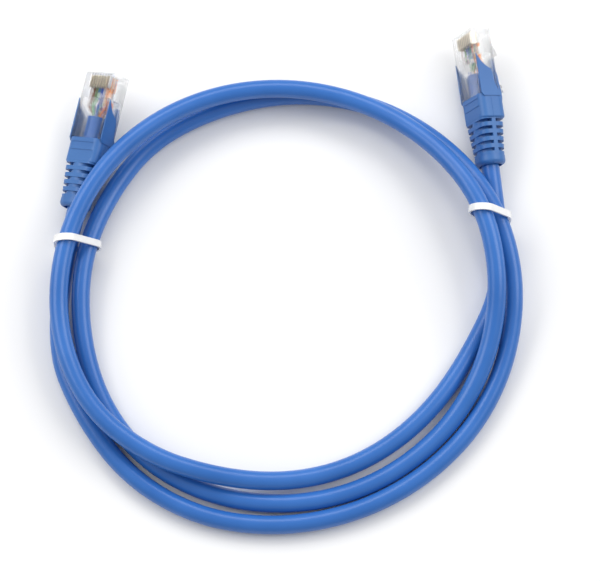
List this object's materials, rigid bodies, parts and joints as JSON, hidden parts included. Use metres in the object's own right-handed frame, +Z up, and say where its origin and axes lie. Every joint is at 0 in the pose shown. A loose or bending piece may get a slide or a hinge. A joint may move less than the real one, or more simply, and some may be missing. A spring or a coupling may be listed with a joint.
{
  "type": "ethernet patch cable",
  "caption": "Short round network patch cable with a clear modular plug and strain-relief boot at each end, coiled and held by two ties.",
  "frame": {"origin": "middle of the bounding box on the surface the coil lies on", "axes": "+Z up from the surface, +Y from the coil towards both plug noses, +X to the plug whose cable end lies under the right tie"},
  "size_m": [0.1394, 0.152, 0.0199],
  "materials": {
    "jacket": "glossy blue PVC",
    "boot": "satin blue PVC",
    "clear": "clear polycarbonate",
    "gold": "gold-plated, polished",
    "steel": "bare wire",
    "tie": "glossy white plastic",
    "copper": "bare copper",
    "insulation_white_orange": "satin polyolefin",
    "insulation_orange": "satin polyolefin",
    "insulation_white_green": "satin polyolefin",
    "insulation_blue": "satin polyolefin",
    "insulation_white_blue": "satin polyolefin",
    "insulation_green": "satin polyolefin",
    "insulation_white_brown": "satin polyolefin",
    "insulation_brown": "satin polyolefin"
  },
  "bodies": {
    "cable": {"boot_a": "boot", "boot_b": "boot", "cable_jacket": "jacket", "conductor_blue": "copper", "conductor_brown": "copper", "conductor_green": "copper", "conductor_orange": "copper", "conductor_white_blue": "copper", "conductor_white_brown": "copper", "conductor_white_green": "copper", "conductor_white_orange": "copper", "contact_blade_a1": "gold", "contact_blade_a2": "gold", "contact_blade_a3": "gold", "contact_blade_a4": "gold", "contact_blade_a5": "gold", "contact_blade_a6": "gold", "contact_blade_a7": "gold", "contact_blade_a8": "gold", "contact_blade_b1": "gold", "contact_blade_b2": "gold", "contact_blade_b3": "gold", "contact_blade_b4": "gold", "contact_blade_b5": "gold", "contact_blade_b6": "gold", "contact_blade_b7": "gold", "contact_blade_b8": "gold", "plug_housing_a": "clear", "plug_housing_b": "clear", "tie_a": "tie", "tie_b": "tie", "tie_wire_a": "steel", "tie_wire_b": "steel", "wire_blue": "insulation_blue", "wire_brown": "insulation_brown", "wire_green": "insulation_green", "wire_orange": "insulation_orange", "wire_white_blue": "insulation_white_blue", "wire_white_brown": "insulation_white_brown", "wire_white_green": "insulation_white_green", "wire_white_orange": "insulation_white_orange"},
    "lever_a": {"latch_lever_a": "clear"},
    "lever_b": {"latch_lever_b": "clear"}
  },
  "joints": [
    {"name": "latch_a_press", "type": "hinge", "parent": "cable", "child": "lever_a", "pos_m": [0.05957, 0.07392, 0.00736], "axis": [-0.4283, 0.0146, -0.9035], "range_deg": [0, 7], "stiffness_Nm_per_rad": 0.02},
    {"name": "latch_b_press", "type": "hinge", "parent": "cable", "child": "lever_b", "pos_m": [-0.05137, 0.05927, 0.00664], "axis": [-0.8014, 0.2561, -0.5406], "range_deg": [0, 7], "stiffness_Nm_per_rad": 0.02}
  ]
}
